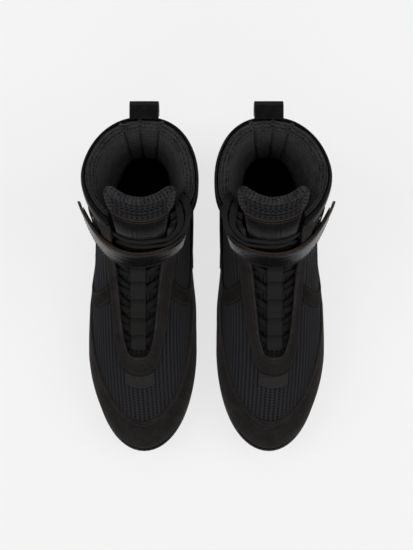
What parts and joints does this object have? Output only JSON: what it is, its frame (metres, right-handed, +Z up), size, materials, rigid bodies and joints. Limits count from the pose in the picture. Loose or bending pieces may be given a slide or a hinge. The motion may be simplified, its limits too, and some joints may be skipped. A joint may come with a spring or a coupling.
{
  "type": "boxing boots",
  "caption": "Pair of black high-top boxing boots: mesh upper with suede overlays, laces through webbing loops, padded tongue and collar, ankle strap, pull tab and thin flat rubber sole.",
  "frame": {"origin": "centre of the pair's bounding box, at the ground under the soles", "axes": "+Y from the toes to the heels, along the boots' length; +Z up; +X towards the outer side of the left boot"},
  "size_m": [0.2246, 0.3097, 0.1937],
  "materials": {
    "back_strip": "smooth matte leather",
    "collar_binding": "glossy synthetic leather",
    "collar_lining": "soft terry over foam",
    "eyestay": "suede",
    "footbed": "knitted cover over foam",
    "heel_counter": "stiff fibre sheet",
    "heel_cover": "suede",
    "hook_pad": "nylon hooks",
    "insole_board": "stiff fibre board",
    "lace": "flat woven lace",
    "lace_loops_lateral": "woven tape",
    "lace_loops_medial": "woven tape",
    "loop_pad": "brushed loop tape",
    "midsole": "closed-cell foam",
    "outsole": "smooth black rubber",
    "pull_tab": "glossy synthetic leather",
    "quarter_lateral": "knitted mesh",
    "quarter_medial": "knitted mesh",
    "side_band_lateral": "suede",
    "side_band_medial": "suede",
    "strap": "glossy synthetic leather",
    "toe_guard": "suede",
    "toe_puff": "stiff fibre sheet",
    "tongue": "knitted mesh over foam",
    "tongue_patch": "smooth leather",
    "tongue_top": "knitted mesh over foam",
    "tongue_webbing": "woven tape",
    "vamp_lining": "knitted lining",
    "vamp_mesh": "ribbed knitted mesh",
    "vamp_tab": "smooth matte leather"
  },
  "bodies": {
    "right_boot": {"right_back_strip": "back_strip", "right_collar_binding": "collar_binding", "right_collar_lining": "collar_lining", "right_eyestay": "eyestay", "right_footbed": "footbed", "right_heel_counter": "heel_counter", "right_heel_cover": "heel_cover", "right_insole_board": "insole_board", "right_lace": "lace", "right_lace_loops_lateral": "lace_loops_lateral", "right_lace_loops_medial": "lace_loops_medial", "right_loop_pad": "loop_pad", "right_midsole": "midsole", "right_outsole": "outsole", "right_quarter_lateral": "quarter_lateral", "right_quarter_medial": "quarter_medial", "right_side_band_lateral": "side_band_lateral", "right_side_band_medial": "side_band_medial", "right_toe_guard": "toe_guard", "right_toe_puff": "toe_puff", "right_tongue": "tongue", "right_tongue_webbing": "tongue_webbing", "right_vamp_lining": "vamp_lining", "right_vamp_mesh": "vamp_mesh", "right_vamp_tab": "vamp_tab"},
    "right_strap": {"right_strap": "strap", "right_hook_pad": "hook_pad"},
    "right_tongue_top": {"right_tongue_top": "tongue_top", "right_tongue_patch": "tongue_patch"},
    "right_pull_tab": {"right_pull_tab": "pull_tab"},
    "left_boot": {"left_back_strip": "back_strip", "left_collar_binding": "collar_binding", "left_collar_lining": "collar_lining", "left_eyestay": "eyestay", "left_footbed": "footbed", "left_heel_counter": "heel_counter", "left_heel_cover": "heel_cover", "left_insole_board": "insole_board", "left_lace": "lace", "left_lace_loops_lateral": "lace_loops_lateral", "left_lace_loops_medial": "lace_loops_medial", "left_loop_pad": "loop_pad", "left_midsole": "midsole", "left_outsole": "outsole", "left_quarter_lateral": "quarter_lateral", "left_quarter_medial": "quarter_medial", "left_side_band_lateral": "side_band_lateral", "left_side_band_medial": "side_band_medial", "left_toe_guard": "toe_guard", "left_toe_puff": "toe_puff", "left_tongue": "tongue", "left_tongue_webbing": "tongue_webbing", "left_vamp_lining": "vamp_lining", "left_vamp_mesh": "vamp_mesh", "left_vamp_tab": "vamp_tab"},
    "left_strap": {"left_strap": "strap", "left_hook_pad": "hook_pad"},
    "left_tongue_top": {"left_tongue_top": "tongue_top", "left_tongue_patch": "tongue_patch"},
    "left_pull_tab": {"left_pull_tab": "pull_tab"}
  },
  "joints": [
    {"name": "left_boot_lift", "type": "slide", "parent": "right_boot", "child": "left_boot", "axis": [0, 0, 1], "range_m": [0, 0.3]},
    {"name": "right_strap_hinge", "type": "hinge", "parent": "right_boot", "child": "right_strap", "pos_m": [-0.01927, 0.04456, 0.13636], "axis": [0, 0, 1], "range_deg": [0, 65]},
    {"name": "right_tongue_bend", "type": "hinge", "parent": "right_boot", "child": "right_tongue_top", "pos_m": [-0.0542, 0.0465, 0.162], "axis": [1, 0, 0], "range_deg": [-10, 30]},
    {"name": "right_pull_tab_bend", "type": "hinge", "parent": "right_boot", "child": "right_pull_tab", "pos_m": [-0.0502, 0.1434, 0.1776], "axis": [1, 0, 0], "range_deg": [-60, 5]},
    {"name": "left_strap_hinge", "type": "hinge", "parent": "left_boot", "child": "left_strap", "pos_m": [0.01927, 0.04456, 0.13636], "axis": [0, 0, -1], "range_deg": [0, 65]},
    {"name": "left_tongue_bend", "type": "hinge", "parent": "left_boot", "child": "left_tongue_top", "pos_m": [0.0542, 0.0465, 0.162], "axis": [1, 0, 0], "range_deg": [-10, 30]},
    {"name": "left_pull_tab_bend", "type": "hinge", "parent": "left_boot", "child": "left_pull_tab", "pos_m": [0.0502, 0.1434, 0.1776], "axis": [1, 0, 0], "range_deg": [-60, 5]}
  ]
}
